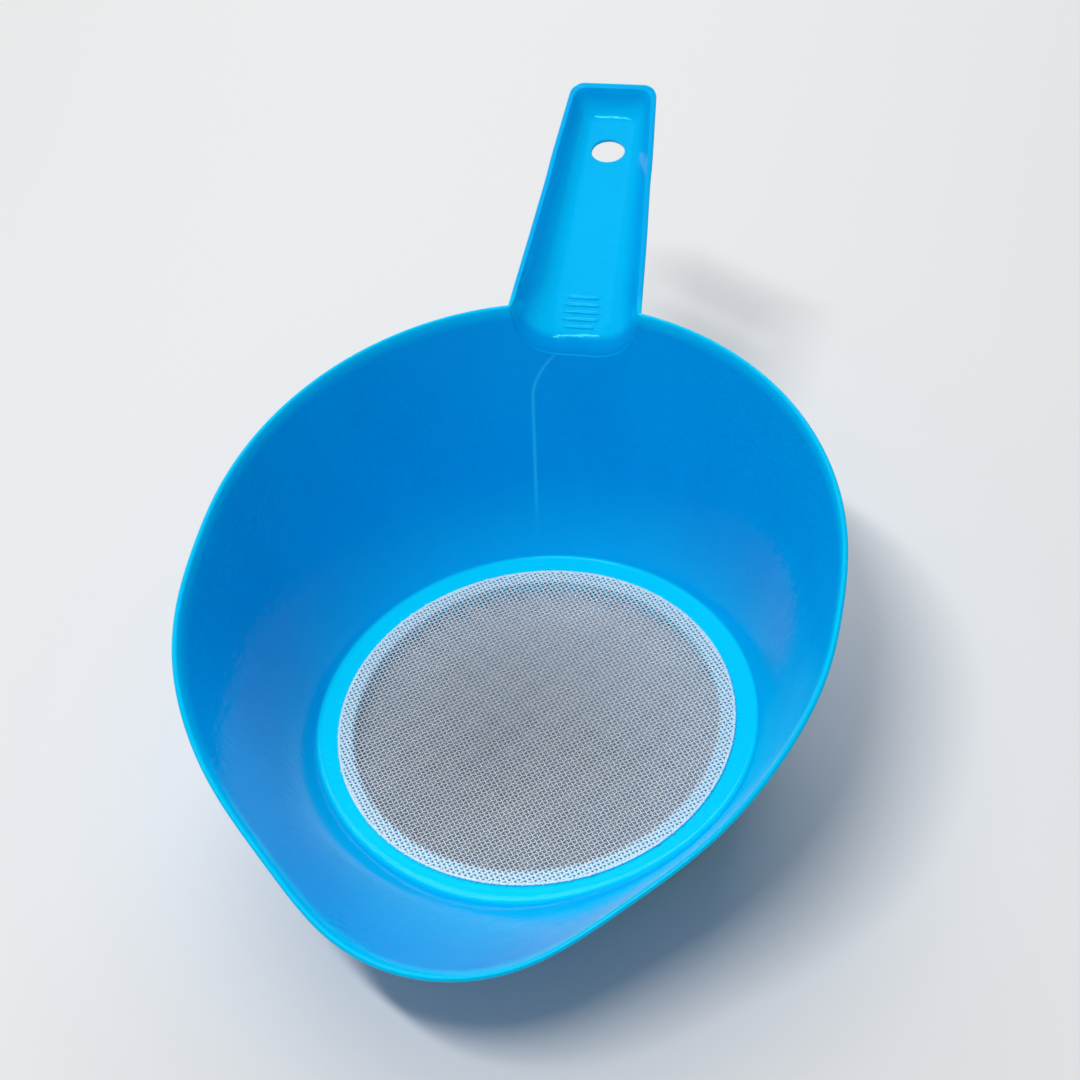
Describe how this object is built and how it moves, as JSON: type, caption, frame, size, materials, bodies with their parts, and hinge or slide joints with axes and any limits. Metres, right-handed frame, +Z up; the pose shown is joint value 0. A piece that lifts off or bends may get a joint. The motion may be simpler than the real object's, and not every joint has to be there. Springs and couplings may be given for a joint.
{
  "type": "double sieve strainer",
  "caption": "Plastic scoop strainer with a conical bowl, a pouring lip, an open trough handle and a round base closed by layers of woven metal mesh.",
  "frame": {"origin": "middle of the footprint's bounding box, on the plane that the foot skirt stands on", "axes": "+Z up, +Y from the pouring lip towards the handle, +X across"},
  "size_m": [0.2198, 0.335, 0.1415],
  "materials": {
    "blue_plastic": "glossy, slightly translucent injection-moulded polypropylene",
    "upper_mesh": "plain-woven stainless wire",
    "lower_mesh": "plain-woven stainless wire, seen through the upper mesh"
  },
  "bodies": {
    "root": {"scoop_body": "blue_plastic", "upper_sieve": "upper_mesh", "spacer_ring": "blue_plastic", "lower_sieve": "lower_mesh", "retaining_ring": "blue_plastic"}
  },
  "joints": []
}
